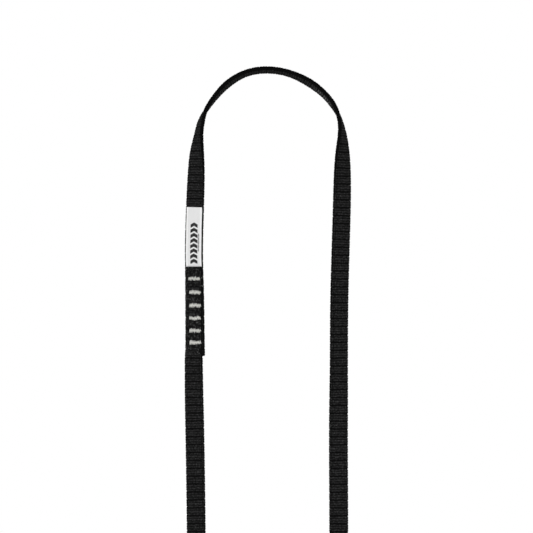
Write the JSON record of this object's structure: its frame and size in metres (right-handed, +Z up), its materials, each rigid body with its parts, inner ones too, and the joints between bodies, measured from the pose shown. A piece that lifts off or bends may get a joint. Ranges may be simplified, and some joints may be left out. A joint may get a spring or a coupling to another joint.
{
  "type": "sewn sling",
  "caption": "Closed loop of narrow black webbing, lapped and bar-tacked, with a small woven label, lying flat on a table with both bights standing on edge.",
  "frame": {"origin": "on the table under the middle of the loop's overall box", "axes": "+Z up from the table, +Y along the loop towards its top bend, +X across it"},
  "size_m": [0.1094, 0.5532, 0.0121],
  "materials": {
    "webbing": "tightly woven, matt, faint ribs",
    "label": "smooth satin-woven tape with a plain woven-in mark",
    "thread": "twisted filament thread"
  },
  "bodies": {
    "upper_loop": {"webbing_top_bend": "webbing", "webbing_right_twist": "webbing", "webbing_right_run": "webbing", "webbing_left_run": "webbing", "webbing_left_ramp": "webbing", "webbing_lap_end": "webbing", "webbing_under_end": "webbing", "label_tail": "label", "needle_thread_1": "thread", "needle_thread_2": "thread", "needle_thread_3": "thread", "needle_thread_4": "thread", "needle_thread_5": "thread", "needle_thread_6": "thread", "bobbin_thread_1": "thread", "bobbin_thread_2": "thread", "bobbin_thread_3": "thread", "bobbin_thread_4": "thread", "bobbin_thread_5": "thread", "bobbin_thread_6": "thread"},
    "lower_loop": {"webbing_lower_left": "webbing", "webbing_lower_right": "webbing", "webbing_bottom_bend": "webbing"},
    "label_free_end": {"label_flap": "label"}
  },
  "joints": [
    {"name": "fold", "type": "hinge", "parent": "upper_loop", "child": "lower_loop", "pos_m": [0, -0.075, 0.007], "axis": [-1, 0, 0], "range_deg": [0, 176]},
    {"name": "label_lift", "type": "hinge", "parent": "upper_loop", "child": "label_free_end", "pos_m": [-0.0486, 0.1484, 0.00482], "axis": [0.9511, 0.0014, 0.309], "range_deg": [0, 100]}
  ]
}
